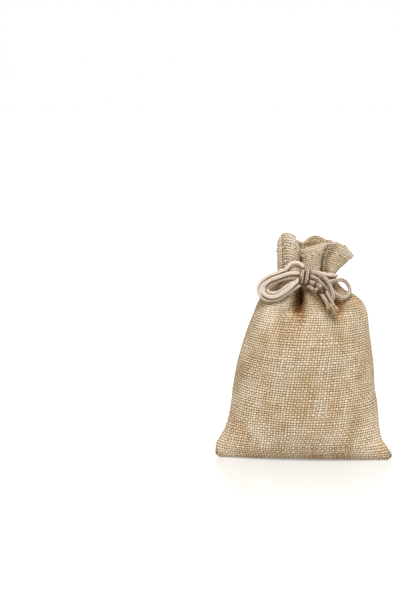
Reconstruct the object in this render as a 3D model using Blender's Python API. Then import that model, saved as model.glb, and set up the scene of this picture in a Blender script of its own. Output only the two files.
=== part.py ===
"""A small hessian drawstring sack: filled, standing on its base, its neck
gathered and tied at the front in a bow. The front faces -Y."""

import math
from collections import namedtuple

import bpy
import numpy as np
from mathutils import Vector

MM = 0.001            # the sizes and tables below are in millimetres

# The cloth and the cord
CLOTH = 1.6           # thickness of the standing heading
CORD = 2.2            # diameter of the drawstring

# The filled body, one row for each height. left and right are the half widths
# at the side seams, which lie at depth seam. front and back are the depths of
# the two panels in the middle. corner is 1 for a round side, 2 for a sharp one.
Section = namedtuple("Section", "height left right seam front back corner")
SECTIONS = (
    Section(0.0, 44.8, 45.0, -12.3, -12.9, 14.0, 1.90),
    Section(1.0, 46.4, 46.7, -13.2, -17.0, 17.6, 1.85),
    Section(3.0, 47.0, 47.0, -13.5, -19.2, 20.6, 1.75),
    Section(6.5, 46.9, 45.0, -12.4, -21.2, 22.9, 1.60),
    Section(10.5, 44.6, 42.0, -10.4, -22.7, 24.3, 1.45),
    Section(15.5, 42.0, 40.5, -7.6, -24.0, 25.2, 1.32),
    Section(21.5, 40.4, 39.7, -4.6, -24.9, 25.6, 1.20),
    Section(35.0, 38.0, 38.4, -1.0, -25.6, 25.6, 1.08),
    Section(47.5, 35.9, 37.0, 0.0, -25.6, 25.6, 1.02),
    Section(58.5, 33.2, 35.5, 0.0, -25.2, 25.2, 1.00),
    Section(67.0, 30.6, 34.2, 0.0, -23.8, 23.8, 1.00),
    Section(76.0, 27.0, 32.9, 0.0, -20.6, 20.6, 1.00),
    Section(82.0, 24.5, 30.6, 0.0, -17.4, 17.4, 1.00),
    Section(86.0, 22.3, 26.7, 0.0, -14.7, 14.7, 1.00),
    Section(89.0, 19.0, 20.8, 0.0, -12.2, 12.2, 1.00),
    Section(93.0, 14.9, 17.0, 0.0, -8.8, 8.8, 1.00),
    Section(97.0, 13.8, 15.2, 0.0, -7.2, 7.2, 1.00),
)
RING_SPACING = 4.0    # greatest rise from one ring of the body to the next

# The gathers, one row for each ridge or valley, from the left seam along the
# front and home along the back. bearing is where the gather starts on the
# body, 180 at the left seam and 270 at the middle of the front; then its
# place at the neck, and its place and height at the rim.
Gather = namedtuple("Gather", "bearing neck_x neck_y rim_x rim_y rim_z")
GATHERS = (
    Gather(180, -14.2, -0.4, -14.8, -1.2, 113.0),
    Gather(200, -12.4, -4.8, -13.2, -6.4, 118.2),
    Gather(220, -9.0, -5.2, -9.0, -6.2, 119.6),
    Gather(244, -6.2, -7.8, -5.0, -8.2, 117.6),
    Gather(268, -2.2, -4.4, -2.4, -2.8, 110.8),
    Gather(282, 1.2, -7.8, 0.8, -8.0, 111.8),
    Gather(295, 4.4, -8.0, 5.8, -9.2, 113.2),
    Gather(308, 7.6, -6.4, 9.0, -7.0, 113.8),
    Gather(323, 9.8, -3.4, 12.8, -2.6, 113.8),
    Gather(341, 12.8, -5.4, 20.0, -6.2, 111.0),
    Gather(360, 15.2, -0.6, 25.4, -0.6, 107.4),
    Gather(382, 12.8, 4.4, 20.8, 3.4, 112.4),
    Gather(405, 9.4, 4.0, 14.4, 2.8, 113.6),
    Gather(428, 5.8, 7.6, 9.4, 7.6, 115.2),
    Gather(450, 2.0, 5.4, 3.6, 7.8, 116.8),
    Gather(472, -2.0, 7.8, -1.6, 6.4, 114.6),
    Gather(497, -6.0, 4.8, -6.8, 3.2, 114.0),
    Gather(520, -10.2, 6.2, -11.4, 6.0, 115.6),
)
POINTS_PER_GATHER = 5
GATHER_FOOT = 70.0    # height where the ridges and valleys have run out
HEADING_RINGS = 6     # rings from the neck up to the rim
FLARE = 1.15          # how late the heading opens out, 1 for straight
FUNNEL_RINGS = 5      # rings from the rim down inside the mouth
FUNNEL_FLOOR = 0.30   # share of the heading's height where the mouth closes
FUNNEL_WIDTH = 0.62   # share of the heading's width left there
FUNNEL_SLIT = 0.12    # share of its depth left there

# Deep creases below the neck, where the cloth is drawn in, on the gathers'
# bearings. half_width is in degrees, and the crease is deepest at middle.
Crease = namedtuple("Crease", "bearing half_width depth top middle foot")
CREASES = (
    Crease(264, 11, 8.0, 99, 86, 77),
    Crease(266, 14, 1.6, 90, 77, 60),
    Crease(300, 13, 4.2, 96, 86, 73),
    Crease(228, 8, 1.8, 96, 90, 80),
    Crease(326, 7, 1.6, 96, 89, 76),
    Crease(342, 7, 1.4, 94, 86, 75),
    Crease(35, 9, 2.4, 96, 86, 71),
    Crease(76, 8, 2.8, 96, 87, 68),
    Crease(112, 9, 2.4, 96, 85, 70),
    Crease(148, 8, 2.2, 95, 85, 72),
)

# The bow. A route is a list of the points that the cord's middle runs through.
CORD_STEP = 2.0       # diameters between the points of a tube
ROUTES = {
    "cord_neck": (
        (-13.9, -6.6, 99.2), (-12.5, -8.2, 99.8), (-10.0, -9.3, 100.2),
        (-6.9, -9.7, 100.6), (-3.8, -9.7, 100.7), (-0.6, -9.8, 100.3),
        (2.5, -9.8, 99.7), (5.7, -9.6, 99.4), (8.8, -9.4, 98.7),
        (11.8, -8.6, 98.0), (14.4, -6.6, 97.4), (16.4, -3.2, 97.0),
    ),
    "loop_left_outer": (
        (-1.5, -11.9, 103.1), (-2.8, -11.5, 104.1), (-4.7, -11.2, 104.6),
        (-7.1, -11.3, 104.2), (-9.0, -11.7, 102.4), (-10.7, -11.9, 100.5),
        (-13.6, -11.6, 99.2), (-17.5, -11.1, 97.8), (-21.0, -10.8, 95.8),
        (-23.4, -10.6, 93.4), (-24.4, -10.6, 90.7), (-24.1, -11.0, 88.4),
        (-22.6, -11.8, 86.4), (-20.1, -12.8, 85.2), (-17.1, -13.6, 85.0),
        (-13.8, -14.2, 85.8), (-10.9, -14.5, 87.7), (-8.1, -14.7, 89.7),
        (-5.4, -14.9, 91.7), (-2.9, -14.9, 93.3),
    ),
    "loop_left_middle": (
        (-3.2, -13.8, 99.3), (-5.6, -13.8, 99.5), (-8.4, -13.8, 99.2),
        (-11.5, -13.7, 98.2), (-14.6, -13.6, 97.0), (-18.0, -13.1, 95.6),
        (-20.7, -12.9, 93.5), (-21.9, -12.7, 91.2), (-21.8, -13.3, 89.0),
        (-20.3, -14.2, 87.7), (-17.7, -15.4, 87.0), (-14.5, -16.3, 87.6),
        (-11.7, -16.8, 89.2), (-8.8, -17.0, 91.3), (-6.0, -16.7, 93.8),
        (-3.2, -15.7, 96.3),
    ),
    "loop_left_inner": (
        (-3.2, -12.4, 96.9), (-5.6, -12.4, 97.0), (-8.4, -12.2, 96.7),
        (-11.5, -12.0, 96.0), (-14.4, -11.8, 95.0), (-17.2, -11.2, 93.8),
        (-19.1, -10.9, 92.1), (-19.8, -11.0, 90.3), (-19.0, -11.7, 88.9),
        (-16.5, -12.5, 88.5), (-13.4, -13.2, 89.4), (-10.6, -13.6, 91.5),
        (-7.8, -13.4, 93.4), (-5.5, -13.0, 94.3), (-3.2, -12.2, 94.4),
    ),
    "loop_right_front": (
        (2.0, -12.5, 100.0), (4.1, -12.4, 99.7), (6.9, -12.5, 98.9),
        (9.8, -13.2, 97.4), (12.0, -14.2, 95.0), (13.5, -15.2, 92.3),
        (14.4, -16.0, 89.6), (14.8, -16.4, 87.4), (14.4, -15.9, 86.0),
        (13.6, -14.6, 86.2), (13.0, -13.7, 87.7), (12.1, -13.2, 89.5),
        (10.7, -13.3, 91.5), (8.6, -13.8, 93.8), (6.4, -14.4, 96.1),
        (4.1, -14.9, 97.7), (2.0, -15.0, 98.3),
    ),
    "loop_right_back": (
        (2.0, -12.0, 96.9), (5.2, -11.4, 96.0), (8.8, -10.8, 95.2),
        (12.5, -9.6, 94.7), (15.1, -8.4, 94.9), (17.8, -6.8, 95.2),
        (20.1, -5.6, 94.8), (22.2, -4.8, 92.9), (23.4, -5.2, 90.6),
        (23.4, -7.0, 88.5), (21.8, -10.2, 86.8), (19.3, -12.6, 86.7),
        (16.7, -12.0, 88.2), (13.6, -10.6, 90.1), (9.9, -10.9, 91.8),
        (5.7, -11.6, 93.2), (2.0, -12.2, 94.3),
    ),
    "tail_root_upper": (
        (2.0, -15.0, 95.4), (3.7, -16.4, 95.1), (5.2, -17.6, 94.6),
    ),
    "tail_root_lower": (
        (1.8, -14.7, 92.9), (3.3, -15.8, 92.2), (4.8, -17.0, 91.4),
    ),
    "tail_end_upper": (
        (10.4, -18.8, 91.0), (12.0, -19.4, 88.4), (13.6, -19.9, 85.8),
        (15.0, -20.4, 83.2),
    ),
    "tail_end_lower": (
        (8.8, -19.8, 89.2), (10.3, -20.7, 87.0), (11.6, -21.4, 84.9),
    ),
}

# The knots, as lumps of wound cord. Each groove lies between two turns.
Knot = namedtuple("Knot", "centre size turn grooves groove_depth")
KNOTS = {
    "knot": Knot((-0.6, -13.2, 97.4), (4.4, 4.4, 10.2), 0, 1, 0.24),
    "tail_knot": Knot((7.6, -18.6, 92.3), (4.6, 4.6, 5.6), 40, 2, 0.18),
}
KNOT_SIDES = 20
KNOT_RINGS = 12

CLOTH_COLOUR = (0.539, 0.411, 0.270, 1.0)
CORD_COLOUR = (0.521, 0.429, 0.330, 1.0)
CLOTH_ROUGHNESS = 0.92
CORD_ROUGHNESS = 0.85


def clear_scene():
    for old in list(bpy.data.objects):
        bpy.data.objects.remove(old, do_unlink=True)


def fabric(name, colour, roughness):
    material = bpy.data.materials.new(name)
    material.use_nodes = True
    shader = material.node_tree.nodes["Principled BSDF"]
    shader.inputs["Base Color"].default_value = colour
    shader.inputs["Roughness"].default_value = roughness
    shader.inputs["Metallic"].default_value = 0.0
    material.diffuse_color = colour
    return material


def add_object(name, data, material):
    data.materials.append(material)
    piece = bpy.data.objects.new(name, data)
    bpy.context.scene.collection.objects.link(piece)
    return piece


def smooth_value(knots, values, at):
    """The value at one place of a smooth curve that never overshoots."""
    steps = np.diff(knots)
    rates = np.diff(values) / steps
    slopes = np.zeros(len(knots))
    slopes[0], slopes[-1] = rates[0], rates[-1]
    for i in range(1, len(knots) - 1):
        before, after = rates[i - 1], rates[i]
        if before * after > 0:
            slopes[i] = 2 * before * after / (before + after)
    i = int(np.clip(np.searchsorted(knots, at) - 1, 0, len(steps) - 1))
    t = (at - knots[i]) / steps[i]
    rise = (3 - 2 * t) * t * t
    start = t * (1 - t) ** 2
    end = t * t * (t - 1)
    level = values[i] * (1 - rise) + values[i + 1] * rise
    return level + steps[i] * (slopes[i] * start + slopes[i + 1] * end)


def section_at(height):
    heights = [row.height for row in SECTIONS]
    columns = zip(*(row[1:] for row in SECTIONS))
    values = (smooth_value(heights, column, height) for column in columns)
    return Section(height, *values)


def body_point(section, bearing):
    """A point of the plain, ungathered body in the level of its section."""
    across = math.cos(math.radians(bearing))
    along = math.sin(math.radians(bearing))
    reach = abs(along) ** section.corner
    panel = section.front if along < 0 else section.back
    x = across * (section.right if across > 0 else section.left)
    y = section.seam + (panel - section.seam) * reach
    return Vector((x, y, section.height))


def through_points(points, places):
    """Points on a smooth curve through the given ones, at places 0, 1, 2 ..."""
    last = len(points) - 1
    curve = []
    for place in places:
        i = min(int(place), last - 1)
        t = place - i
        before = points[max(i - 1, 0)]
        start, end = points[i], points[i + 1]
        after = points[min(i + 2, last)]
        curve.append(0.5 * (
            2 * start
            + (end - before) * t
            + (2 * before - 5 * start + 4 * end - after) * t ** 2
            + (3 * start - before - 3 * end + after) * t ** 3
        ))
    return curve


def round_ring(rows):
    """The closed smooth ring through one point for each gather."""
    count = len(rows)
    wrapped = rows[-2:] + rows + rows[:3]
    places = [2 + i / POINTS_PER_GATHER for i in range(count * POINTS_PER_GATHER)]
    return through_points(wrapped, places)


def ring_bearings():
    bearings = [float(row.bearing) for row in GATHERS]
    bearings.append(bearings[0] + 360.0)
    spread = []
    for first, second in zip(bearings, bearings[1:]):
        for i in range(POINTS_PER_GATHER):
            spread.append(first + (second - first) * i / POINTS_PER_GATHER)
    return spread


def bump(distance):
    """1 at the middle and 0 from a distance of 1 on, with a soft edge."""
    if abs(distance) >= 1:
        return 0.0
    return 0.5 + 0.5 * math.cos(math.pi * distance)


def crease_depth(bearing, height):
    depth = 0.0
    for crease in CREASES:
        turn = (bearing - crease.bearing + 180) % 360 - 180
        side = crease.top if height > crease.middle else crease.foot
        along = (height - crease.middle) / (side - crease.middle)
        depth += crease.depth * bump(turn / crease.half_width) * bump(along)
    return depth


def body_rings(bearings, neck):
    """Rings of the body from the floor to just below the neck."""
    neck_section = SECTIONS[-1]
    gathers = [
        place - body_point(neck_section, bearing)
        for place, bearing in zip(neck, bearings)
    ]
    rings = []
    for low, high in zip(SECTIONS, SECTIONS[1:]):
        steps = math.ceil((high.height - low.height) / RING_SPACING)
        for step in range(steps):
            height = low.height + (high.height - low.height) * step / steps
            section = section_at(height)
            rise = (height - GATHER_FOOT) / (neck_section.height - GATHER_FOOT)
            rise = max(0.0, rise)
            drawn_in = rise * rise * (3 - 2 * rise)
            ring = []
            for bearing, gather in zip(bearings, gathers):
                point = body_point(section, bearing)
                inward = Vector((-point.x, -point.y, 0)).normalized()
                point += inward * crease_depth(bearing, height)
                point += Vector((gather.x, gather.y, 0)) * drawn_in
                ring.append(point)
            rings.append(ring)
    return rings


def heading_rings(neck, rim):
    """Rings of the gathered heading from the neck up to the rim."""
    rings = []
    for step in range(HEADING_RINGS + 1):
        rise = step / HEADING_RINGS
        opening = rise ** FLARE
        ring = []
        for low, high in zip(neck, rim):
            point = low.lerp(high, opening)
            point.z = low.z + (high.z - low.z) * rise
            ring.append(point)
        rings.append(ring)
    return rings


def inner_side(ring):
    """The ring moved in by the cloth's thickness."""
    moved = []
    for i, point in enumerate(ring):
        along = ring[(i + 1) % len(ring)] - ring[i - 1]
        inward = Vector((-along.y, along.x, 0)).normalized()
        moved.append(point + inward * CLOTH)
    return moved


def funnel_rings(neck, rim):
    """Rings from the rim down inside the mouth to where the neck closes it."""
    rings = []
    for step in range(FUNNEL_RINGS + 1):
        open_share = 1 - step / FUNNEL_RINGS
        rise = FUNNEL_FLOOR + (1 - FUNNEL_FLOOR) * open_share
        outside = []
        for low, high in zip(neck, rim):
            point = low.lerp(high, rise ** FLARE)
            point.z = low.z + (high.z - low.z) * rise
            outside.append(point)
        width = FUNNEL_WIDTH + (1 - FUNNEL_WIDTH) * open_share
        depth = FUNNEL_SLIT + (1 - FUNNEL_SLIT) * open_share
        ring = inner_side(outside)
        for point in ring:
            point.x *= width
            point.y *= depth
        rings.append(ring)
    floor = sum(point.z for point in rings[-1]) / len(rings[-1])
    for point in rings[-1]:
        point.z = floor
    return rings


def mesh_from_rings(name, rings):
    """A closed mesh over rings that all run anticlockwise, seen from above."""
    size = len(rings[0])
    points = [point * MM for ring in rings for point in ring]
    faces = [list(reversed(range(size)))]
    for level in range(len(rings) - 1):
        low, high = level * size, (level + 1) * size
        for i in range(size):
            j = (i + 1) % size
            faces.append((low + i, low + j, high + j, high + i))
    top = (len(rings) - 1) * size
    faces.append(list(range(top, top + size)))
    mesh = bpy.data.meshes.new(name)
    mesh.from_pydata(points, [], faces)
    mesh.shade_smooth()
    mesh.set_sharp_from_angle(angle=math.radians(50))
    return mesh


def make_sack(material):
    """The filled cloth body with its gathered neck and open heading, in one."""
    neck_height = SECTIONS[-1].height
    neck_rows = [Vector((row.neck_x, row.neck_y, neck_height)) for row in GATHERS]
    rim_rows = [Vector((row.rim_x, row.rim_y, row.rim_z)) for row in GATHERS]
    neck = round_ring(neck_rows)
    rim = round_ring(rim_rows)
    rings = body_rings(ring_bearings(), neck)
    rings += heading_rings(neck, rim)
    rings += funnel_rings(neck, rim)
    return add_object("sack", mesh_from_rings("sack", rings), material)


def make_cord(name, route, material):
    """A tube of the drawstring along a smooth curve through its route."""
    points = [Vector(point) for point in route]
    fine = 40
    places = [i / fine for i in range((len(points) - 1) * fine + 1)]
    curve_points = through_points(points, places)
    lengths = [0.0]
    for first, second in zip(curve_points, curve_points[1:]):
        lengths.append(lengths[-1] + (second - first).length)
    count = max(3, round(lengths[-1] / (CORD_STEP * CORD)) + 1)
    marks = [lengths[-1] * i / (count - 1) for i in range(count)]
    stations = [float(np.interp(mark, lengths, places)) for mark in marks]
    curve = bpy.data.curves.new(name, "CURVE")
    curve.dimensions = "3D"
    curve.bevel_depth = CORD / 2 * MM
    curve.bevel_resolution = 2
    curve.use_fill_caps = True
    spline = curve.splines.new("POLY")
    spline.points.add(count - 1)
    for target, point in zip(spline.points, through_points(points, stations)):
        target.co = (*(point * MM), 1.0)
    return add_object(name, curve, material)


def make_knot(name, knot, material):
    """A lump of wound cord, grooved between its turns, upright or turned."""
    width, depth, height = (size / 2 for size in knot.size)
    turn = math.radians(knot.turn)
    rings = []
    for step in range(1, KNOT_RINGS):
        slope = math.pi * (step / KNOT_RINGS - 0.5)
        girth = math.cos(slope) ** 0.55
        rise = math.sin(slope) * height
        ring = []
        for side in range(KNOT_SIDES):
            angle = 2 * math.pi * side / KNOT_SIDES
            across = math.cos(angle)
            ridges = math.cos(math.pi * (knot.grooves + 1) * across)
            ridges *= -1 if knot.grooves % 2 else 1
            sunk = knot.groove_depth * (0.5 - 0.5 * ridges)
            local = Vector((
                across * width * girth,
                math.sin(angle) * depth * girth * (1 - sunk),
                rise,
            ))
            turned = Vector((
                local.x * math.cos(turn) + local.z * math.sin(turn),
                local.y,
                local.z * math.cos(turn) - local.x * math.sin(turn),
            ))
            ring.append(turned + Vector(knot.centre))
        rings.append(ring)
    return add_object(name, mesh_from_rings(name, rings), material)


clear_scene()
make_sack(fabric("hessian", CLOTH_COLOUR, CLOTH_ROUGHNESS))
for cord_name, cord_route in ROUTES.items():
    make_cord(cord_name, cord_route, fabric(cord_name, CORD_COLOUR, CORD_ROUGHNESS))
for knot_name, knot_row in KNOTS.items():
    make_knot(knot_name, knot_row, fabric(knot_name, CORD_COLOUR, CORD_ROUGHNESS))
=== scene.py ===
"""The looks of a small hessian drawstring sack: the woven cloth with its side
seams and hem, and the two knitted drawstrings tied in a bow at the front."""

import math
from collections import namedtuple

import bpy
import numpy as np
from mathutils import Euler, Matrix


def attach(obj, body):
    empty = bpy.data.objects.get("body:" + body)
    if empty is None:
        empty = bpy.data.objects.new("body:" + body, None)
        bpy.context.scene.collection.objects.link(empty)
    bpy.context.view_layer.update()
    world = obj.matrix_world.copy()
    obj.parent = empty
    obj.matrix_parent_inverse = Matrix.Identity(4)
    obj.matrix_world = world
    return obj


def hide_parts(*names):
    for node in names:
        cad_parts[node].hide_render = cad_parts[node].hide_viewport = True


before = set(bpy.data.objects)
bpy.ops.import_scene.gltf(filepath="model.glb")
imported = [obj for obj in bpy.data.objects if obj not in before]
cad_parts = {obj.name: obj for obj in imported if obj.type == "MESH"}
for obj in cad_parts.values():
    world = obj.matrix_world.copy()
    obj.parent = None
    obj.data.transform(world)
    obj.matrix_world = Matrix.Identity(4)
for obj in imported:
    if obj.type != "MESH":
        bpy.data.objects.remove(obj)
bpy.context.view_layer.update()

# ---------------------------------------------------------------- The cloth
# Hessian: a coarse plain weave of slubby spun yarn, one length folded across
# at the bottom and sewn up both sides, with its top turned in as a hem. The
# filled body stands on its fold, with an ear left at each bottom corner.

MM = 0.001  # the sizes below are in millimetres
PANEL_WIDTH = 100.0  # the flat sack, from side seam to side seam
PANEL_LENGTH = 140.0  # and from the fold to the rim
WARPS = 67  # threads across one panel, 1.49 apart
WEFT_PITCH = 1.29
WARP_SAMPLES = 4  # mesh columns to a warp thread
WEFT_SAMPLES = 3  # mesh rows to a weft thread
HIDDEN_SAMPLES = 2  # mesh rows to a weft thread below and inside

# One row for each height. left and right are the half widths at the side
# seams, which lie at depth seam. front and back are the depths of the two
# panels in the middle. corner is 1 for a round side, 2 for a sharp one.
Section = namedtuple("Section", "height left right seam front back corner")
SECTIONS = [Section(*row) for row in (
    (0.0, 44.8, 45.0, -12.3, -12.9, 14.0, 1.90),
    (1.0, 46.4, 46.7, -13.2, -17.0, 17.6, 1.85),
    (3.0, 47.0, 47.0, -13.5, -19.2, 20.6, 1.75),
    (6.5, 46.9, 45.0, -12.4, -21.2, 22.9, 1.60),
    (10.5, 44.6, 42.0, -10.4, -22.7, 24.3, 1.45),
    (15.5, 42.0, 40.5, -7.6, -24.0, 25.2, 1.32),
    (21.5, 40.4, 39.7, -4.6, -24.9, 25.6, 1.20),
    (35.0, 38.0, 38.4, -1.0, -25.6, 25.6, 1.08),
    (47.5, 35.9, 37.0, 0.0, -25.6, 25.6, 1.02),
    (58.5, 33.2, 35.5, 0.0, -25.2, 25.2, 1.00),
    (67.0, 30.6, 34.2, 0.0, -23.8, 23.8, 1.00),
    (76.0, 27.0, 32.9, 0.0, -20.6, 20.6, 1.00),
    (82.0, 24.5, 30.6, 0.0, -17.4, 17.4, 1.00),
    (86.0, 22.3, 26.7, 0.0, -14.7, 14.7, 1.00),
    (89.0, 19.0, 20.8, 0.0, -12.2, 12.2, 1.00),
    (93.0, 14.9, 17.0, 0.0, -8.8, 8.8, 1.00),
    (97.0, 13.8, 15.2, 0.0, -7.2, 7.2, 1.00),
)]
NECK = SECTIONS[-1].height

# The gathers at the neck, a row for each ridge or valley, from the left seam
# along the front and home along the back. A gather starts on the body on its
# bearing, 180 at the left and 270 at the front, at the height of its foot.
Gather = namedtuple("Gather", "bearing foot neck_x neck_y rim_x rim_y rim_z")
GATHERS = [Gather(*row) for row in (
    (180, 78, -14.2, -0.4, -14.8, -0.8, 113.2),
    (192, 80, -13.6, -3.8, -14.4, -4.6, 116.8),
    (203, 78, -11.8, -5.6, -12.8, -7.0, 118.8),
    (212, 76, -10.2, -4.4, -10.9, -6.0, 119.6),
    (222, 80, -8.6, -5.8, -9.2, -7.4, 119.6),
    (236, 78, -6.4, -7.6, -6.6, -7.8, 118.8),
    (250, 76, -4.4, -7.4, -4.6, -8.2, 116.4),
    (260, 72, -2.9, -4.2, -3.1, -4.8, 112.6),
    (267, 70, -2.1, -1.8, -2.4, -0.8, 110.6),
    (273, 72, -1.2, -3.8, -1.6, -5.2, 111.2),
    (283, 76, 1.0, -7.6, 0.4, -8.2, 112.4),
    (293, 80, 3.6, -8.2, 4.2, -9.2, 113.4),
    (303, 78, 6.2, -7.6, 7.4, -8.8, 114.2),
    (310, 76, 7.7, -5.6, 10.0, -8.0, 114.6),
    (316, 78, 8.4, -2.0, 12.2, -7.2, 114.9),
    (323, 80, 9.6, -3.8, 14.6, -6.6, 115.0),
    (330, 78, 10.9, -2.2, 17.0, -6.2, 114.8),
    (341, 80, 13.2, -5.4, 20.2, -5.8, 113.0),
    (350, 80, 15.0, -3.6, 23.4, -3.4, 110.2),
    (360, 80, 15.6, -0.6, 25.4, -0.6, 107.8),
    (374, 78, 13.8, 3.6, 22.0, 2.4, 111.6),
    (390, 74, 11.2, 2.2, 18.0, 1.4, 113.4),
    (404, 78, 9.6, 5.8, 14.2, 4.4, 114.4),
    (417, 74, 7.4, 3.2, 11.4, 2.4, 115.4),
    (430, 78, 5.4, 7.4, 8.6, 7.6, 116.4),
    (444, 72, 3.2, 5.6, 5.0, 8.6, 117.0),
    (456, 78, 1.0, 7.6, 1.2, 6.8, 116.0),
    (468, 70, -1.2, 4.0, -1.4, 2.0, 114.2),
    (480, 78, -3.6, 7.2, -4.2, 6.4, 115.0),
    (494, 74, -6.0, 4.0, -6.8, 2.6, 114.0),
    (508, 78, -8.6, 7.0, -9.6, 6.8, 115.4),
    (524, 76, -11.8, 4.6, -12.6, 4.4, 115.0),
)]
FLARE = 1.15  # how late the heading opens out, 1 for straight
# On the right of the front the cloth stays drawn in till just under the rim.
DRAWN_BEARING = 320.0
DRAWN_WIDTH = 14.0
DRAWN_FLARE = 3.0  # added to the flare there
DRAWN_DEPTH = 1.4  # how deep the hollow below the rim counts as

# On which bearings the left and the right side seam run at each height: the
# cloth is twisted a little round the body.
SEAMS = (
    (0.0, 180.0, 360.0), (3.0, 180.0, 360.0), (8.0, 180.0, 363.0), (15.5, 180.0, 368.0),
    (35.0, 185.0, 371.0), (50.0, 188.0, 374.0), (67.0, 189.0, 381.0), (78.0, 190.0, 388.0),
    (88.0, 196.0, 388.0), (97.0, 206.0, 388.0), (120.0, 207.0, 386.0),
)

# Creases pressed into the body, or with a negative depth, a bulge. half_width
# is in degrees of bearing, and a crease is deepest at its middle height.
Crease = namedtuple("Crease", "bearing half_width depth top middle foot")
CREASES = [Crease(*row) for row in (
    (263, 14, 10.0, 99, 86, 77.5),
    (258, 10, 6.0, 89, 82.5, 77),
    (266, 15, 1.8, 88, 77, 60),
    (300, 12, 5.6, 96, 86, 73),
    (311, 9, 5.0, 93, 84, 74),
    (281, 7, 1.3, 86, 70, 52),
    (255, 6, 0.9, 84, 68, 48),
    (241, 7, 1.2, 86, 70, 54),
    (294, 7, 1.0, 84, 66, 46),
    (228, 8, 1.8, 96, 90, 80),
    (226, 22, -1.2, 92, 78, 62),
    (326, 7, 1.6, 96, 89, 76),
    (342, 7, 1.4, 94, 86, 75),
    (35, 9, 2.4, 96, 86, 71),
    (76, 8, 2.8, 96, 87, 68),
    (112, 9, 2.4, 96, 85, 70),
    (148, 8, 2.2, 95, 85, 72),
)]

CREASE_FLOOR = 0.6  # lower for creases with a flatter floor

HEM = 2.0  # thickness of the turned-in rim
HEM_ROOM = 7.0  # cloth that goes into the hem and the seam's turn
HEM_STITCH = 4.3  # from the rim down to the line of stitches
GROOVE = 0.35  # how far a line of stitches draws the cloth in
GROOVE_WIDTH = 0.8
SEAM_GROOVE = 0.7
SEAM_WIDTH = 1.1
YARN_BULGE = 0.30  # height of a yarn's round back in the weave
YARN_WAVE = 0.18  # how far a yarn rises and dips over its crossings
YARN_HALF = 0.44  # half a yarn's width, as a share of the pitch
WARP_SUNK = 0.07  # the tight warps lie deeper than the slack wefts
SLUB = 0.16  # how much a yarn's thickness changes, as a share
SLUB_LENGTH = 6  # threads crossed from one slub to the next
SMILE = 2.4  # how far the wefts rise towards the sides
SMILE_COMES = (0.0, 8.0)  # from what height, and over what way up ...
SMILE_GOES = (NECK, -60.0)  # ... and where it goes again, with the way down
RIM = 118.0  # the height that the rim's level is reckoned from

# Soft noise over the cloth: its reach, the threads across and along from one
# swell to the next, its seed, and the swells that go once round the sack.
Noise = namedtuple("Noise", "reach across along seed round")
WARP_WANDER = (Noise(0.18, 3.0, 9.0, 11, 45), Noise(0.13, 1.0, 4.0, 15, 134))
WEFT_WANDER = (Noise(0.20, 10.0, 3.0, 12, 14), Noise(0.15, 5.0, 1.0, 16, 27))
WRINKLES = (Noise(0.4, 9.0, 11.0, 13, 15), Noise(0.2, 4.0, 7.0, 14, 34))
WRINKLES_COME = (2.0, 14.0)  # from what height, and over what way up ...
WRINKLES_GO = (112.0, -10.0)  # ... and where they go again, with the way down

# The cloth runs on over the rim and down inside the mouth, where it narrows
# and shuts, and under the base to its fold.
TURN_STEPS = 5  # mesh rows over the rim
FUNNEL = 14.0  # how far the cloth shows down inside the mouth
FUNNEL_NARROWS = 0.35  # share of its width that is lost on the way down
FUNNEL_SHUTS = 0.97  # and of its depth ...
FUNNEL_CURVE = 1.3  # ... and how late
FUNNEL_EVENED = 3  # mesh columns over which its folds even out
FOLD_DEPTH = -6.0  # where the fold lies under the base, front to back
FOLD_HEIGHT = 0.25
FOLD_SHARE = 0.985  # its width, as a share of the base's
FOLD_BENDS = (20.0, 25.0)  # where it bends forward to the corners, and over what way
STANDS_AT = 0.02  # height of the lowest yarn

# How a place's depth in its fold is reckoned, for the shade and light painted
# into the cloth's colour: LEVEL is flat cloth and 1 a deep fold.
LEVEL = 0.5
FOLD_WIDTH = 34  # mesh columns either side that tell how hollow a place is
HOLLOW = 9.0  # millimetres of hollow that count as 1 ...
RIDGE = -0.8  # ... of which a ridge has no more than this
PRESSED = 12.0  # millimetres of a pressed crease that count as 1 ...
PRESSED_FREE = 1.0  # ... after the first of them
BULGE = 8.0  # the same for a bulge
BULGE_MOST = 1.2
# Painted shade just under the tie round the neck.
TIE_SHADE = 0.06  # added just under the cord round the neck ...
TIE_HEIGHT = 92.0
TIE_WIDTH = 4.5
# Painted light: the heading and its hem are made paler.
HEADING_PAINTED_LIGHT = 0.18  # taken off on the heading ...
HEADING_FROM = (98.0, 6.0)  # from what height, and over what way up
HEM_PAINTED_LIGHT = 0.08  # ... and on its hem
HEM_FROM = (HEM_STITCH - 2.0, 5.0)  # how far below the rim it ends, and over what way
# Painted shade inside the mouth, under the base and in the side seams.
MOUTH_SHADE = (0.42, 0.5)  # inside the mouth, at the rim and added down to the neck
MOUTH_DARKENS = (0.22, 0.4)  # from what share of the way down, and over what share
BASE_SHADE = 0.6  # of the cloth under the base
SEAM_SHADE = 0.2  # added in the side seams


def smooth_table(rows, at):
    """Each further column of a table at many places of its first one, read off
    smooth curves that never overshoot the rows."""
    places, *columns = np.array(rows, float).T
    steps = np.diff(places)
    row = np.clip(np.searchsorted(places, at, side="right") - 1, 0, len(steps) - 1)
    t = np.clip((at - places[row]) / steps[row], 0.0, 1.0)
    rise = (3 - 2 * t) * t * t
    found = []
    for values in columns:
        rates = np.diff(values) / steps
        before, after = rates[:-1], rates[1:]
        together = np.where(before * after > 0, before + after, 1.0)
        inner = np.where(before * after > 0, 2 * before * after / together, 0.0)
        slopes = np.concatenate([rates[:1], inner, rates[-1:]])
        level = values[row] * (1 - rise) + values[row + 1] * rise
        start = slopes[row] * t * (1 - t) ** 2
        end = slopes[row + 1] * t * t * (t - 1)
        found.append(level + steps[row] * (start + end))
    return found


def soft_step(value, start=0.0, way=1.0):
    """0 up to the start, 1 from the end of the way, and smooth between."""
    value = np.clip((value - start) / way, 0.0, 1.0)
    return value * value * (3 - 2 * value)


def bell(value, width):
    return np.exp(-((value / width) ** 2))


def unit(vectors):
    return vectors / np.linalg.norm(vectors, axis=-1, keepdims=True)


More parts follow.
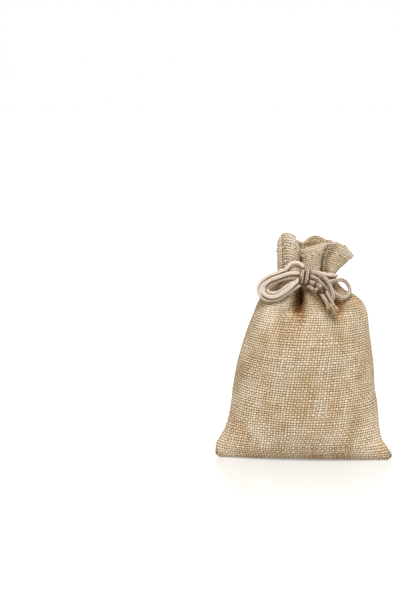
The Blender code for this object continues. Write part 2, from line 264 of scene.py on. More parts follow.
def way_along(line):
    """The way from a line's first point to each of its points."""
    steps = np.linalg.norm(np.diff(line, axis=0), axis=1)
    return np.concatenate([[0.0], np.cumsum(steps)])


def soft_noise(across, along, seed, wrap):
    """Smooth noise from -1 to 1, a lattice point a unit, that repeats across."""
    lattice = np.random.default_rng(seed).uniform(-1, 1, (wrap, 512))
    column, row = np.floor(across).astype(int), np.floor(along).astype(int)
    right, up = soft_step(across - column), soft_step(along - row)
    column, row = column % wrap, row % 511
    beside = (column + 1) % wrap
    low = lattice[column, row] * (1 - right) + lattice[beside, row] * right
    high = lattice[column, row + 1] * (1 - right) + lattice[beside, row + 1] * right
    return low * (1 - up) + high * up


def cloth_noise(noises, warp, weft):
    return sum(
        row.reach * soft_noise(warp / row.across, weft / row.along, row.seed, row.round)
        for row in noises
    )


def smooth_curve(before, start, end, after, t):
    """The place at t, 0 to 1, from start to end of a curve through four points."""
    return 0.5 * (
        2 * start
        + (end - before) * t
        + (2 * before - 5 * start + 4 * end - after) * t ** 2
        + (3 * start - before - 3 * end + after) * t ** 3
    )


def gather_ring(columns, bearings):
    """Values of the closed smooth curve through one value for each gather."""
    marks = np.array([row.bearing for row in GATHERS] + [GATHERS[0].bearing + 360.0])
    table = np.array([[getattr(row, name) for name in columns] for row in GATHERS])
    turned = (bearings - marks[0]) % 360 + marks[0]
    i = np.clip(np.searchsorted(marks, turned, side="right") - 1, 0, len(GATHERS) - 1)
    t = ((turned - marks[i]) / (marks[i + 1] - marks[i]))[..., None]
    return smooth_curve(*(table[(i + k) % len(GATHERS)] for k in (-1, 0, 1, 2)), t)


def plain_body(bearing, height):
    """Points of the filled body without its gathers and creases."""
    left, right, seam, front, back, corner = smooth_table(SECTIONS, height)
    across, along = np.cos(np.radians(bearing)), np.sin(np.radians(bearing))
    x = across * np.where(across > 0, right, left)
    panel = np.where(along < 0, front, back)
    y = seam + (panel - seam) * np.abs(along) ** corner
    return np.stack([x, y, height], axis=-1)


def crease_depth(bearing, height):
    depth = np.zeros(np.broadcast(bearing, height).shape)
    for crease in CREASES:
        turn = (bearing - crease.bearing + 180) % 360 - 180
        side = np.where(height > crease.middle, crease.top, crease.foot)
        along = (height - crease.middle) / (side - crease.middle)
        across_share = np.clip(np.abs(turn / crease.half_width), 0, 1)
        along_share = np.clip(np.abs(along), 0, 1)
        rounded = (0.5 + 0.5 * np.cos(np.pi * across_share)) ** CREASE_FLOOR
        depth += crease.depth * rounded * (0.5 + 0.5 * np.cos(np.pi * along_share))
    return depth


def body_rows(levels, bearings):
    """Dense rings of the body, one for each weft level. A fourth value with
    each point tells how deep it was pressed in."""
    bearing, level = np.meshgrid(bearings, levels)
    to_side = 1 - np.abs(np.sin(np.radians(bearing)))
    lift = soft_step(level, *SMILE_COMES) * soft_step(level, *SMILE_GOES)
    height = level + SMILE * lift * to_side
    points = plain_body(bearing, height)
    outward = unit(points[..., :2])
    pressed = crease_depth(bearing, height)[..., None]
    points[..., :2] -= outward * pressed
    neck = gather_ring(("neck_x", "neck_y"), bearings)
    plain_neck = plain_body(bearings, np.full(len(bearings), NECK))[:, :2]
    foot = gather_ring(("foot",), bearings)[:, 0]
    drawn_in = soft_step(height, foot, NECK - foot)
    points[..., :2] += (neck - plain_neck) * drawn_in[..., None]
    return np.concatenate([points, pressed], axis=-1)


def heading_rows(rises, bearings):
    """Dense rings of the heading, from the neck, 0, up to the rim, 1."""
    neck = gather_ring(("neck_x", "neck_y"), bearings)
    rim = gather_ring(("rim_x", "rim_y"), bearings)
    rim_height = gather_ring(("rim_z",), bearings)[:, 0] - HEM / 2
    rises = np.asarray(rises)[:, None]
    drawn = bell(bearings % 360 - DRAWN_BEARING, DRAWN_WIDTH)
    opening = (rises ** (FLARE + DRAWN_FLARE * drawn))[..., None]
    flat = neck * (1 - opening) + rim * opening
    height = NECK + (rim_height - NECK) * rises
    pressed = DRAWN_DEPTH * drawn * np.sin(np.pi * rises)
    return np.concatenate([flat, height[..., None], pressed[..., None]], axis=-1)


def spread_warps(rings, bearings, heights):
    """The rings again at the places of the mesh columns, the front panel's
    and then the back panel's, each spread evenly between the side seams."""
    left, right = smooth_table(SEAMS, heights)
    columns = WARPS * WARP_SAMPLES + 1
    panels = np.zeros((2, len(rings), columns, 4))
    for i, ring in enumerate(rings):
        along = way_along(ring[:, :3])
        ends = np.interp([left[i], right[i], left[i] + 360], bearings, along)
        for panel in (0, 1):
            places = np.linspace(ends[panel], ends[panel + 1], columns)
            for axis in range(4):
                panels[panel, i, :, axis] = np.interp(places, along, ring[:, axis])
    return panels


def weave_height(warp, weft):
    """Height of the plain weave at a place given by its thread numbers."""
    tops = []
    for across, along, shift, seed, wrap in (
        (warp, weft, -0.5, 21, 134), (weft, warp, 0.5, 22, 300),
    ):
        number = np.floor(across)
        slub = SLUB * soft_noise(number, along / SLUB_LENGTH, seed, wrap)
        back = 1 - ((across - number - 0.5) / (YARN_HALF * (1 + slub))) ** 2
        wave = np.cos(np.pi * (along + shift + number))
        tops.append(YARN_BULGE * np.sqrt(np.clip(back, 0, 1)) + YARN_WAVE * wave)
    return np.maximum(tops[0] - WARP_SUNK, tops[1]) - (YARN_BULGE + YARN_WAVE) / 2


def surface_normals(points):
    across = np.gradient(points, axis=1)
    up = np.gradient(points, axis=0)
    normals = np.cross(across, up)
    length = np.linalg.norm(normals, axis=-1, keepdims=True)
    return normals / np.maximum(length, 1e-9)


def smooth_along(values, reach):
    """Values evened out along the columns of closed rings."""
    count = values.shape[1]
    kept = np.exp(-2 * (np.pi * np.fft.rfftfreq(count) * reach) ** 2)
    waves = np.fft.rfft(values, axis=1) * kept[:, None]
    return np.fft.irfft(waves, count, axis=1)


def put(name, data):
    """Puts an object in the scene."""
    made = bpy.data.objects.new(name, data)
    bpy.context.scene.collection.objects.link(made)
    return made


def add_piece(name, mesh, material, node=None):
    """Puts a smooth mesh in the scene as a piece of the sack."""
    mesh.shade_smooth()
    mesh.materials.append(material)
    piece = put(name, mesh)
    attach(piece, "root")
    if node:
        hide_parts(*node)
    return piece


def give_values(mesh, name, values):
    """Gives each point of a mesh a value that its material reads."""
    layer = mesh.attributes.new(name, "FLOAT", "POINT")
    layer.data.foreach_set("value", values)


def grid_mesh(name, points, threads):
    """A mesh over a grid of points, with a UV map of thread numbers."""
    rows, columns = points.shape[:2]
    index = np.arange(rows * columns).reshape(rows, columns)
    corners = (index[:-1, :-1], index[:-1, 1:], index[1:, 1:], index[1:, :-1])
    quads = np.stack(corners, axis=-1).reshape(-1, 4)
    mesh = bpy.data.meshes.new(name)
    mesh.from_pydata(points.reshape(-1, 3) * MM, [], quads)
    layer = mesh.uv_layers.new(name="threads")
    layer.uv.foreach_set("vector", threads.reshape(-1, 2)[quads.ravel()].ravel())
    return mesh


def linear(hex_colour):
    """The linear colour of an sRGB hex value."""
    parts = [int(hex_colour[i:i + 2], 16) / 255 for i in (1, 3, 5)]
    bent = [c / 12.92 if c <= 0.04045 else ((c + 0.055) / 1.055) ** 2.4 for c in parts]
    return (*bent, 1.0)


def fill(tree, node, inputs):
    """Gives a node's inputs their values or links."""
    for socket, value in inputs.items():
        if isinstance(value, bpy.types.NodeSocket):
            tree.links.new(value, node.inputs[socket])
        else:
            node.inputs[socket].default_value = value


def add(tree, kind, inputs=(), output=0, **settings):
    """Adds a node with its settings, and returns the output that is used."""
    made = tree.nodes.new("ShaderNode" + kind)
    for name, value in settings.items():
        setattr(made, name, value)
    fill(tree, made, dict(inputs))
    return made.outputs[output]


def ramp(tree, value, *stops):
    """The colour for a value, off a ramp through the stops."""
    colour = add(tree, "ValToRGB", {0: value})
    elements = colour.node.color_ramp.elements
    while len(elements) < len(stops):
        elements.new(0.5)
    for element, (place, tone) in zip(elements, stops):
        element.position, element.color = place, linear(tone)
    return colour


def calc(tree, operation, *values, clamp=False):
    return add(tree, "Math", dict(enumerate(values)), operation=operation, use_clamp=clamp)


def times(tree, first, second):
    return add(tree, "VectorMath", {0: first, 1: second}, operation="MULTIPLY")


def mapped(tree, place, scale, shift=(0, 0, 0)):
    return add(tree, "Mapping", {"Vector": place, "Scale": scale, "Location": shift})


def noise(tree, place, scale, detail):
    return add(tree, "TexNoise", {"Vector": place, "Scale": scale, "Detail": detail})


def new_material(name):
    material = bpy.data.materials.new(name)
    material.use_nodes = True
    return material, material.node_tree, material.node_tree.nodes["Principled BSDF"]


def yarn_finish(tree, shader, colour, relief, strength, height, values):
    """Gives a yarn's shader its colour, its relief and the rest of its values."""
    bump = add(tree, "Bump", {"Height": relief, "Strength": strength, "Distance": height * MM})
    fill(tree, shader, {"Base Color": colour, "Normal": bump, **values})


# How light a place of the weave is, painted as highlight on the crowns and shade
# down into the gaps: the height of its yarn's back, 0 to 1, with these shares
# of its yarn's tone, of its fibres, of a warp and of a fold's painted shade added.
TONE_SHARE = 0.7
FIBRE_SHARE = 0.4
WARP_SHARE = -0.06
FOLD_SHADE_SHARE = -0.4
TONE_SHIFT = -0.37
YARNS_APART = 7.31  # how far apart in the noise two yarns lie ...
YARN_SLOW = 0.13  # ... and how far it runs on along one, over each thread crossed
FIBRE_RELIEF = 0.35  # height of the fibres, as a share of a yarn's


def hessian():
    """Hessian of slubby straw-coloured yarn: matt, with light crowns where a
    weft rises, duller warps between and dark gaps, painted as highlight and
    shade from the weave's height, painted shade in its folds, and no two
    yarns alike."""
    material, tree, shader = new_material("woven_hessian")
    place = add(tree, "UVMap", uv_map="threads")
    warp = add(tree, "SeparateXYZ", {0: place})
    weft = warp.node.outputs[1]

    # The same round backs and waves as the mesh has, in heights of a yarn.
    warp_number = calc(tree, "FLOOR", warp)
    weft_number = calc(tree, "FLOOR", weft)
    backs = []
    for thread in (warp, weft):
        side = calc(tree, "ADD", calc(tree, "FRACT", thread), -0.5)
        side = calc(tree, "DIVIDE", side, YARN_HALF)
        square = calc(tree, "MULTIPLY", side, side)
        backs.append(calc(tree, "SQRT", calc(tree, "SUBTRACT", 1.0, square, clamp=True)))
    waves = []
    for along, number, shift in ((weft, warp_number, -0.5), (warp, weft_number, 0.5)):
        turn = calc(tree, "ADD", calc(tree, "ADD", along, number), shift)
        waves.append(calc(tree, "COSINE", calc(tree, "MULTIPLY", turn, math.pi)))
    wave_share = YARN_WAVE / YARN_BULGE
    tops = [
        calc(tree, "MULTIPLY_ADD", wave, wave_share, back) for back, wave in zip(backs, waves)
    ]
    warp_top = calc(tree, "ADD", tops[0], -WARP_SUNK / YARN_BULGE)
    top = calc(tree, "MAXIMUM", warp_top, tops[1])
    warp_shows = calc(tree, "GREATER_THAN", warp_top, tops[1])

    # Slubs: each yarn's tone and tint change slowly along it, and from one yarn
    # to the next.
    tones, tints = [], []
    for number, along, seed in ((warp_number, weft, 3.1), (weft_number, warp, 71.7)):
        own = calc(tree, "MULTIPLY", number, YARNS_APART)
        slow = calc(tree, "MULTIPLY", along, YARN_SLOW)
        spot = add(tree, "CombineXYZ", {0: own, 1: slow, 2: seed})
        tones.append(noise(tree, spot, 1.0, 3.0))
        tints.append(tones[-1].node.outputs["Color"])
    tone = add(tree, "Mix", {0: warp_shows, 2: tones[1], 3: tones[0]}, data_type="FLOAT")
    tint = add(tree, "Mix", {0: warp_shows, 6: tints[1], 7: tints[0]}, 2, data_type="RGBA")
    # Fibres: fine streaks that run along the yarn that shows.
    streaks = []
    for stretch, seed in (((7.0, 1.6, 1.0), 5.0), ((1.6, 7.0, 1.0), 9.0)):
        spot = mapped(tree, place, stretch, (seed, 0, 0))
        streaks.append(noise(tree, spot, 1.0, 2.0))
    streak = add(tree, "Mix", {0: warp_shows, 2: streaks[1], 3: streaks[0]}, data_type="FLOAT")

    # The fold values carry painted shade and painted light.
    fold = add(tree, "Attribute", output=2, attribute_name="fold")
    level = calc(tree, "DIVIDE", top, 1.0 + wave_share)
    shares = (
        (tone, TONE_SHARE), (streak, FIBRE_SHARE), (warp_shows, WARP_SHARE),
        (fold, FOLD_SHADE_SHARE),
    )
    for value, share in shares:
        level = calc(tree, "MULTIPLY_ADD", value, share, level)
    level = calc(tree, "ADD", level, TONE_SHIFT, clamp=True)
    # Painted highlight and shade: dark in the gaps, light on the crowns.
    yarn = ramp(
        tree, level, (0.0, "#221204"), (0.2, "#5c4121"), (0.43, "#b09670"),
        (0.68, "#d4c0a4"), (1.0, "#ebe0cc"),
    )
    uneven = {0: tint, 1: (0.18, 0.16, 0.48), 2: (0.925, 0.99, 0.93)}
    uneven = add(tree, "VectorMath", uneven, operation="MULTIPLY_ADD")
    yarn = times(tree, yarn, uneven)
    # Cloudy patches, some paler and some more golden, from the retting.
    spot = mapped(tree, place, (0.11, 0.07, 1.0), (8.1, 4.4, 0.0))
    patch = noise(tree, spot, 1.0, 2.0)
    yarn = times(tree, yarn, ramp(tree, patch, (0.36, "#ebdfcd"), (0.62, "#ffffff")))
    # Painted shade: deep folds are coloured a dark warm brown, as where light only
    # comes off other yarn.
    shade = ramp(
        tree, fold, (0.0, "#ffffff"), (0.34, "#fdfaf6"), (0.5, "#dfd8cc"),
        (0.66, "#c3a580"), (0.82, "#a07648"), (1.0, "#966838"),
    )
    relief = calc(tree, "MULTIPLY_ADD", streak, FIBRE_RELIEF, top)
    yarn = times(tree, yarn, shade)
    yarn_finish(tree, shader, yarn, relief, 0.8, YARN_BULGE, {
        "Roughness": 0.92, "Specular IOR Level": 0.25, "Sheen Weight": 0.15,
        "Sheen Tint": linear("#e0bd88"), "Sheen Roughness": 0.6,
    })
    return material


# A ring's points lie close enough to be read at any bearing, and go on past a
# whole turn, so that both panels lie on it wherever their seams run.
RING_POINTS = 4000
RING_START = 160.0
RING_TURN = 420.0
bearings = np.linspace(RING_START, RING_START + RING_TURN, RING_POINTS)

# The weft levels of the body follow the way up the middle of the front.
fine_heights = np.linspace(0.0, NECK, 2000)
front_middle = plain_body(np.full(len(fine_heights), 270.0), fine_heights)
way_up = way_along(front_middle)
body_wefts = round(way_up[-1] / WEFT_PITCH)
body_places = np.linspace(0, way_up[-1], body_wefts * WEFT_SAMPLES + 1)
levels = np.interp(body_places, way_up, fine_heights)
heading_length = PANEL_LENGTH - way_up[-1] - abs(FOLD_DEPTH) - HEM_ROOM
heading_wefts = round(heading_length / WEFT_PITCH)
rises = np.linspace(0, 1, heading_wefts * WEFT_SAMPLES + 1)[1:]

dense_rings = np.concatenate([
    body_rows(levels, bearings), heading_rows(rises, bearings)
])
seam_levels = np.concatenate([levels, NECK + (RIM - NECK) * rises])
panels = spread_warps(dense_rings, bearings, seam_levels)
both = np.concatenate([panel[:, :-1] for panel in panels], axis=1)
pressed, both, panels = both[..., 3], both[..., :3], panels[..., :3]
wefts_up = np.concatenate([
    np.linspace(0, body_wefts, len(levels)),
    body_wefts + heading_wefts * rises,
])

# Over the rim: half a turn of the hem, and then down inside the mouth, where
# the cloth draws together towards the neck and its folds even out.
rim_ring = both[-1]
ring_along = np.roll(rim_ring, -2, axis=0) - np.roll(rim_ring, 2, axis=0)
inward = unit(np.stack([-ring_along[:, 1], ring_along[:, 0]], axis=1))
inside = []
for step in range(1, TURN_STEPS + 1):
    turn = math.pi * step / TURN_STEPS
    ring = rim_ring.copy()
    ring[:, :2] += inward * HEM / 2 * (1 - math.cos(turn))
    ring[:, 2] += HEM / 2 * math.sin(turn)
    inside.append(ring)
funnel_steps = round(FUNNEL / WEFT_PITCH * HIDDEN_SAMPLES)
for step in range(1, funnel_steps + 1):
    share = step / funnel_steps
    drop = share * FUNNEL / (RIM - NECK)
    row = int(round((1 - drop) * heading_wefts * WEFT_SAMPLES))
    ring = both[len(levels) - 1 + row].copy()
    ring[:, :2] += inward * HEM
    ring[:, 0] *= 1 - FUNNEL_NARROWS * share
    ring[:, 1] *= 1 - FUNNEL_SHUTS * share ** FUNNEL_CURVE
    inside.append(ring)
inside = np.array(inside)
inside_rows = np.arange(1, len(inside) + 1)
evened = np.clip(inside_rows / TURN_STEPS, 0, 1)[:, None, None]
inside = inside * (1 - evened) + smooth_along(inside, FUNNEL_EVENED) * evened
rim_turn = HEM * 1.5 / WEFT_PITCH
inside_wefts = wefts_up[-1] + np.concatenate([
    np.arange(1, TURN_STEPS + 1) / TURN_STEPS * rim_turn,
    rim_turn + np.arange(1, funnel_steps + 1) / HIDDEN_SAMPLES,
])

# How deep each place lies in its fold, for the shade and light painted into the cloth's colour.
levels_up = seam_levels[:, None]
to_rim = (RIM - levels_up) / (RIM - NECK) * heading_wefts * WEFT_PITCH
hollow = np.sum((smooth_along(both, FOLD_WIDTH) - both) * surface_normals(both), axis=-1)
folds = LEVEL + np.maximum(hollow, RIDGE) / HOLLOW
folds += np.maximum(pressed - PRESSED_FREE, 0) / PRESSED
folds -= np.clip(-pressed, 0, BULGE_MOST) / BULGE
folds += TIE_SHADE * bell(levels_up - TIE_HEIGHT, TIE_WIDTH)
folds -= HEADING_PAINTED_LIGHT * soft_step(levels_up, *HEADING_FROM)
folds -= HEM_PAINTED_LIGHT * (1 - soft_step(to_rim, *HEM_FROM))
folds = np.clip(folds, 0, 1)
# Painted shade inside the mouth, darker down towards the neck.
down_inside = (inside_rows / len(inside))[:, None]
darkened = soft_step(down_inside, *MOUTH_DARKENS)
inside_shade = MOUTH_SHADE[0] + MOUTH_SHADE[1] * darkened
inside_shade = np.broadcast_to(inside_shade, inside.shape[:2])

columns = WARPS * WARP_SAMPLES
FIRST_WEFT = 200  # keeps the thread numbers under the base positive
hessian_cloth = hessian()
cloth_panels = []
for panel, name in enumerate(("sack_front", "sack_back")):
    outside = panels[panel]
    picked = np.arange(panel * columns, (panel + 1) * columns + 1) % (2 * columns)
    # Below the base the panel runs back to the fold.
    edge = outside[0]
    ends = soft_step(np.abs(edge[:, 0]), *FOLD_BENDS)
    fold = edge.copy()
    fold[:, 0] *= FOLD_SHARE
    fold[:, 1] = FOLD_DEPTH * (1 - ends) + SECTIONS[0].seam * ends
    fold[:, 2] = FOLD_HEIGHT
    reach = abs(edge[columns // 2, 1] - FOLD_DEPTH)
    under_count = round(reach / WEFT_PITCH) * HIDDEN_SAMPLES
    shares = np.linspace(0, 1, under_count + 1)[:-1, None, None]
    under = fold * (1 - shares) + edge * shares
    under_wefts = (shares[:, 0, 0] - 1) * reach / WEFT_PITCH
    points = np.concatenate([under, outside, inside[:, picked]])
    # The threads wander a little, and the weave stands out from the cloth.
    weft = np.concatenate([under_wefts, wefts_up, inside_wefts]) + FIRST_WEFT
    warp = panel * WARPS + np.linspace(0, WARPS, columns + 1)
    warp, weft = np.meshgrid(warp, weft)
    threads = np.stack([
        warp + cloth_noise(WARP_WANDER, warp, weft), weft + cloth_noise(WEFT_WANDER, warp, weft)
    ], axis=-1)
    normals = surface_normals(points)
    relief = weave_height(threads[..., 0], threads[..., 1])
    height = points[..., 2]
    wrinkled = soft_step(height, *WRINKLES_COME) * soft_step(height, *WRINKLES_GO)
    relief += wrinkled * cloth_noise(WRINKLES, warp, weft)
    warps_to_seam = np.minimum(warp - panel * WARPS, (panel + 1) * WARPS - warp)
    at_seam = bell(warps_to_seam * PANEL_WIDTH / WARPS, SEAM_WIDTH)
    from_rim = (body_wefts + heading_wefts + FIRST_WEFT - weft) * WEFT_PITCH
    relief -= SEAM_GROOVE * at_seam + GROOVE * bell(from_rim - HEM_STITCH, GROOVE_WIDTH)
    points = points + normals * relief[..., None]
    points[..., 2] = np.maximum(points[..., 2], STANDS_AT)
    cloth_panels.append((points, normals, under_count + len(outside) - 1))
    mesh = grid_mesh(name, points, threads)
    # The fold values, with painted shade under the base and in the side seams.
    panel_folds = np.concatenate([
        np.full((under_count, columns + 1), BASE_SHADE), folds[:, picked],
        inside_shade[:, picked],
    ]) + SEAM_SHADE * at_seam
    give_values(mesh, "fold", panel_folds.ravel())
    piece = add_piece(name, mesh, hessian_cloth, ("sack",))

# ------------------------------------------------------------- The stitches
# Running stitches of cotton thread that hold the turned-in hem, all round,
# and a column of them at the heading's left seam, where the casing is closed.

THREAD = 0.7  # thickness of the sewing thread
STITCH_WARPS = 2.0  # a hem stitch crosses this many warps
STITCH_GAP_WARPS = 1.2
STITCH_RISE = 1.5  # how far it rises in its middle, in threads ...
STITCH_DIP = 0.3  # ... and lies sunk at its ends
SEAM_STITCH = 1.9  # length of a stitch up the seam
SEAM_STITCH_GAP = 0.8
SEAM_COLUMN = 6  # the mesh column that the seam's stitches lie on


def tube(line, first, second, radius, closed=False):
    """The points and faces of a tube along a line, first and second being the
    directions across it, with a radius for each point."""
    sides = radius.shape[1]
    angle = np.linspace(0, 2 * np.pi, sides, endpoint=False)
    ring = first[:, None] * np.cos(angle)[None, :, None]
    ring = ring + second[:, None] * np.sin(angle)[None, :, None]
    points = (line[:, None] + ring * radius[..., None]).reshape(-1, 3)
    index = np.arange(len(points)).reshape(-1, sides)
    beside = np.roll(index, -1, axis=1)
    quads = np.stack([index[:-1], beside[:-1], beside[1:], index[1:]], axis=-1)
    faces = quads.reshape(-1, 4).tolist()
    if not closed:
        faces += [index[0][::-1].tolist(), index[-1].tolist()]
    return points, faces


def tubes_mesh(name, tubes):
    """One mesh of several tubes."""
    faces, start = [], 0
    for points, tube_faces in tubes:
        faces += [[start + corner for corner in face] for face in tube_faces]
        start += len(points)
    mesh = bpy.data.meshes.new(name)
    mesh.from_pydata(np.concatenate([points for points, _ in tubes]) * MM, [], faces)
    return mesh


def directions(line):
    return unit(np.gradient(line, axis=0))


def thread_mesh(name, lines, radius, sides):
    """One mesh of thin round threads along the lines, pointed at their ends."""
    tubes = []
    for line in lines:
        line = np.asarray(line)
        ahead = directions(line)
        first = unit(np.cross(ahead, (0.31, -0.52, 0.8)))
        share = np.linspace(0, 1, len(line))
        width = radius * np.clip(np.sin(np.pi * share), 0.25, 1) ** 0.5
        width = np.repeat(width[:, None], sides, axis=1)
        tubes.append(tube(line, first, np.cross(ahead, first), width))
    return tubes_mesh(name, tubes)


def spun_thread(name, colours, roughness):
    """Spun cotton or fibre: matt, its tone a little uneven along its length."""
    material, tree, shader = new_material(name)
    place = add(tree, "TexCoord", output=3)
    blotch = noise(tree, place, 900.0, 2.0)
    yarn = ramp(tree, blotch, *colours)
    yarn_finish(tree, shader, yarn, blotch, 0.4, 0.1, {"Roughness": roughness})
    return material


def stitch(points, normals, start, end):
    """A taut stitch between two places of the cloth, each a row and a column,
    that rises out of the one and dips into the other."""
    ends = [points[row - 1:row + 2, column - 1:column + 2].mean((0, 1))
            for row, column in (start, end)]
    share = np.linspace(0, 1, 9)[:, None]
    lift = THREAD * (STITCH_RISE * np.sin(np.pi * share) - STITCH_DIP)
    return ends[0] * (1 - share) + ends[1] * share + normals[start] * lift


cotton = spun_thread("sewing_cotton", ((0.3, "#b9a37f"), (0.7, "#efe3cc")), 0.8)
hem_stitches = []
pitch = STITCH_WARPS + STITCH_GAP_WARPS
for points, normals, rim_row in cloth_panels:
    row = rim_row - round(HEM_STITCH / WEFT_PITCH * WEFT_SAMPLES)
    for number in range(int(WARPS / pitch)):
        start = round((0.5 + number * pitch) * WARP_SAMPLES)
        end = start + round(STITCH_WARPS * WARP_SAMPLES)
        hem_stitches.append(stitch(points, normals, (row, start), (row, end)))

points, normals, rim_row = cloth_panels[0]
rows_a_mm = WEFT_SAMPLES / WEFT_PITCH
neck_row = rim_row - heading_wefts * WEFT_SAMPLES
seam_stitches = []
pitch = (SEAM_STITCH + SEAM_STITCH_GAP) * rows_a_mm
for number in range(int((rim_row - neck_row) / pitch)):
    start = round(neck_row + number * pitch)
    end = round(start + SEAM_STITCH * rows_a_mm)
    ends = (start, SEAM_COLUMN), (end, SEAM_COLUMN)
    seam_stitches.append(stitch(points, normals, *ends))
for name, lines in (("hem_stitches", hem_stitches), ("seam_stitches", seam_stitches)):
    add_piece(name, thread_mesh(name, lines, THREAD / 2, 6), cotton)

# ---------------------------------------------------------- The drawstrings
# Two soft knitted cords that run round the neck and are drawn shut and tied
# in front in a bow. The knit shows as fine chevrons along the cord.

CORD = 2.2  # diameter
STITCH = 0.95  # length of one knitted stitch along the cord
WALES = 6  # columns of stitches round the cord
CORD_SIDES = 24
RING_STEP = 0.22
CURVE_STEPS = 40  # between two given points of a route
KNIT = 0.11  # relief of the stitches
PINCH = 0.05  # how unevenly thick the soft cord is, as a share
PINCH_LENGTH = 2.5
CORD_END = 0.8  # how far from a cut end the cord starts to round off
KNIT_SLANT = 0.55  # how far a stitch's legs lean, in stitches
KNIT_SUNK = 0.35  # height of the knit between two stitches


def through_points(points, step):
    """Points a step apart on the smooth curve through the given ones, and the
    curve's length."""
    points = np.asarray(points, float)
    padded = np.concatenate([points[:1], points, points[-1:]])
    t = np.linspace(0, 1, CURVE_STEPS, endpoint=False)[:, None]
    fine = [smooth_curve(*padded[i:i + 4], t) for i in range(len(points) - 1)]
    fine = np.concatenate(fine + [points[-1:]])
    along = way_along(fine)
    count = max(2, round(along[-1] / step) + 1)
    places = np.linspace(0, along[-1], count)
    line = np.stack([np.interp(places, along, fine[:, k]) for k in range(3)], axis=1)
    return line, along[-1]


def carried_frames(line):
    """Two directions across the line at each point, carried along untwisted."""
    ahead = directions(line)
    side = np.cross(ahead[0], (0.0, 0.3, 1.0))
    sides = []
    for direction in ahead:
        side = unit(side - direction * (side @ direction))
        sides.append(side)
    sides = np.array(sides)
    return sides, np.cross(ahead, sides)


def knit_height(wale, stitch):
    """Height of the knit, from 0 in the gaps to 1 on the yarn's back."""
    part = wale % 1.0
    slant = np.abs(part - 0.5) * 2
    leg = 0.5 + 0.5 * np.cos(2 * np.pi * (stitch - KNIT_SLANT * slant))
    between = np.abs(np.sin(np.pi * part)) ** 0.5
    return (KNIT_SUNK + (1 - KNIT_SUNK) * leg) * between


def cord_mesh(name, lines, diameter=CORD, closed=False):
    """One mesh of round knitted cord along each of the lines."""
    tubes, threads = [], []
    for number, line in enumerate(lines):
        count = len(line)
        length = way_along(line)
        wale = np.arange(CORD_SIDES) / CORD_SIDES * WALES
        wale = np.broadcast_to(wale, (count, CORD_SIDES))
        stitch = np.broadcast_to(length[:, None] / STITCH, (count, CORD_SIDES))
        seed = 31 + number + len(name)
        uneven = soft_noise(np.zeros(count), length / PINCH_LENGTH, seed, 4)
        radius = diameter / 2 * (1 - PINCH * (0.5 + 0.5 * uneven))[:, None]
        radius = radius - KNIT * (1 - knit_height(wale, stitch))
        if not closed:
            from_end = np.minimum(length, length[-1] - length)[:, None]
            rounded = 1 - (1 - np.clip(from_end / CORD_END, 0, 1)) ** 2
            radius = radius * np.sqrt(np.clip(rounded, 0.02, 1))
        tubes.append(tube(line, *carried_frames(line), radius, closed))
        here = np.stack([wale, stitch], axis=-1)
        there = np.roll(here, -1, axis=1)
        there[:, -1, 0] = WALES
        corner = np.stack([here[:-1], there[:-1], there[1:], here[1:]], axis=2)
        threads.append(corner.reshape(-1, 2))
        if not closed:
            threads.append(np.zeros((2 * CORD_SIDES, 2)))
    mesh = tubes_mesh(name, tubes)
    layer = mesh.uv_layers.new(name="threads")
    layer.uv.foreach_set("vector", np.concatenate(threads).ravel())
    return mesh


def knitted_cord(name, colours):
    """Knitted cotton cord, soft and matt: a pinkish beige, with darker lines of
    painted shade where the stitches meet and a haze of loose fibre that lightens
    its edge."""
    material, tree, shader = new_material(name)
    place = add(tree, "UVMap", uv_map="threads")
    wale = add(tree, "SeparateXYZ", {0: place})
    stitch = wale.node.outputs[1]
    part = calc(tree, "FRACT", wale)
    slant = calc(tree, "ABSOLUTE", calc(tree, "ADD", part, -0.5))
    turn = calc(tree, "MULTIPLY_ADD", slant, -2 * KNIT_SLANT, stitch)
    leg = calc(tree, "COSINE", calc(tree, "MULTIPLY", turn, 2 * math.pi))
    leg = calc(tree, "MULTIPLY_ADD", leg, 0.5, 0.5)
    between = calc(tree, "SINE", calc(tree, "MULTIPLY", part, math.pi))
    between = calc(tree, "POWER", between, 0.5)
    height = calc(tree, "MULTIPLY_ADD", leg, 1 - KNIT_SUNK, KNIT_SUNK)
    height = calc(tree, "MULTIPLY", height, between)
    spot = mapped(tree, place, (2.0, 2.0, 1.0))
    fibre = noise(tree, spot, 1.6, 4.0)
    level = calc(tree, "MULTIPLY_ADD", height, 0.9, fibre)
    level = calc(tree, "ADD", level, -0.4, clamp=True)
    # Painted shade and highlight: darker down where the stitches meet, lighter on their backs.
    yarn = ramp(tree, level, *colours)
    # Painted shade between strands that lie close together.
    crevice = add(tree, "Attribute", output=2, attribute_name="crevice")
    crevice_shade = ramp(
        tree, crevice, (0.0, "#ffffff"), (0.18, "#fbf7f2"), (0.42, "#c6b19b"),
        (0.68, "#7a624c"), (1.0, "#563f2c"),
    )
    yarn = times(tree, yarn, crevice_shade)
    yarn_finish(tree, shader, yarn, height, 0.6, KNIT, {
        "Roughness": 0.88, "Specular IOR Level": 0.25, "Sheen Weight": 0.2,
        "Sheen Roughness": 0.5,
    })
    return material


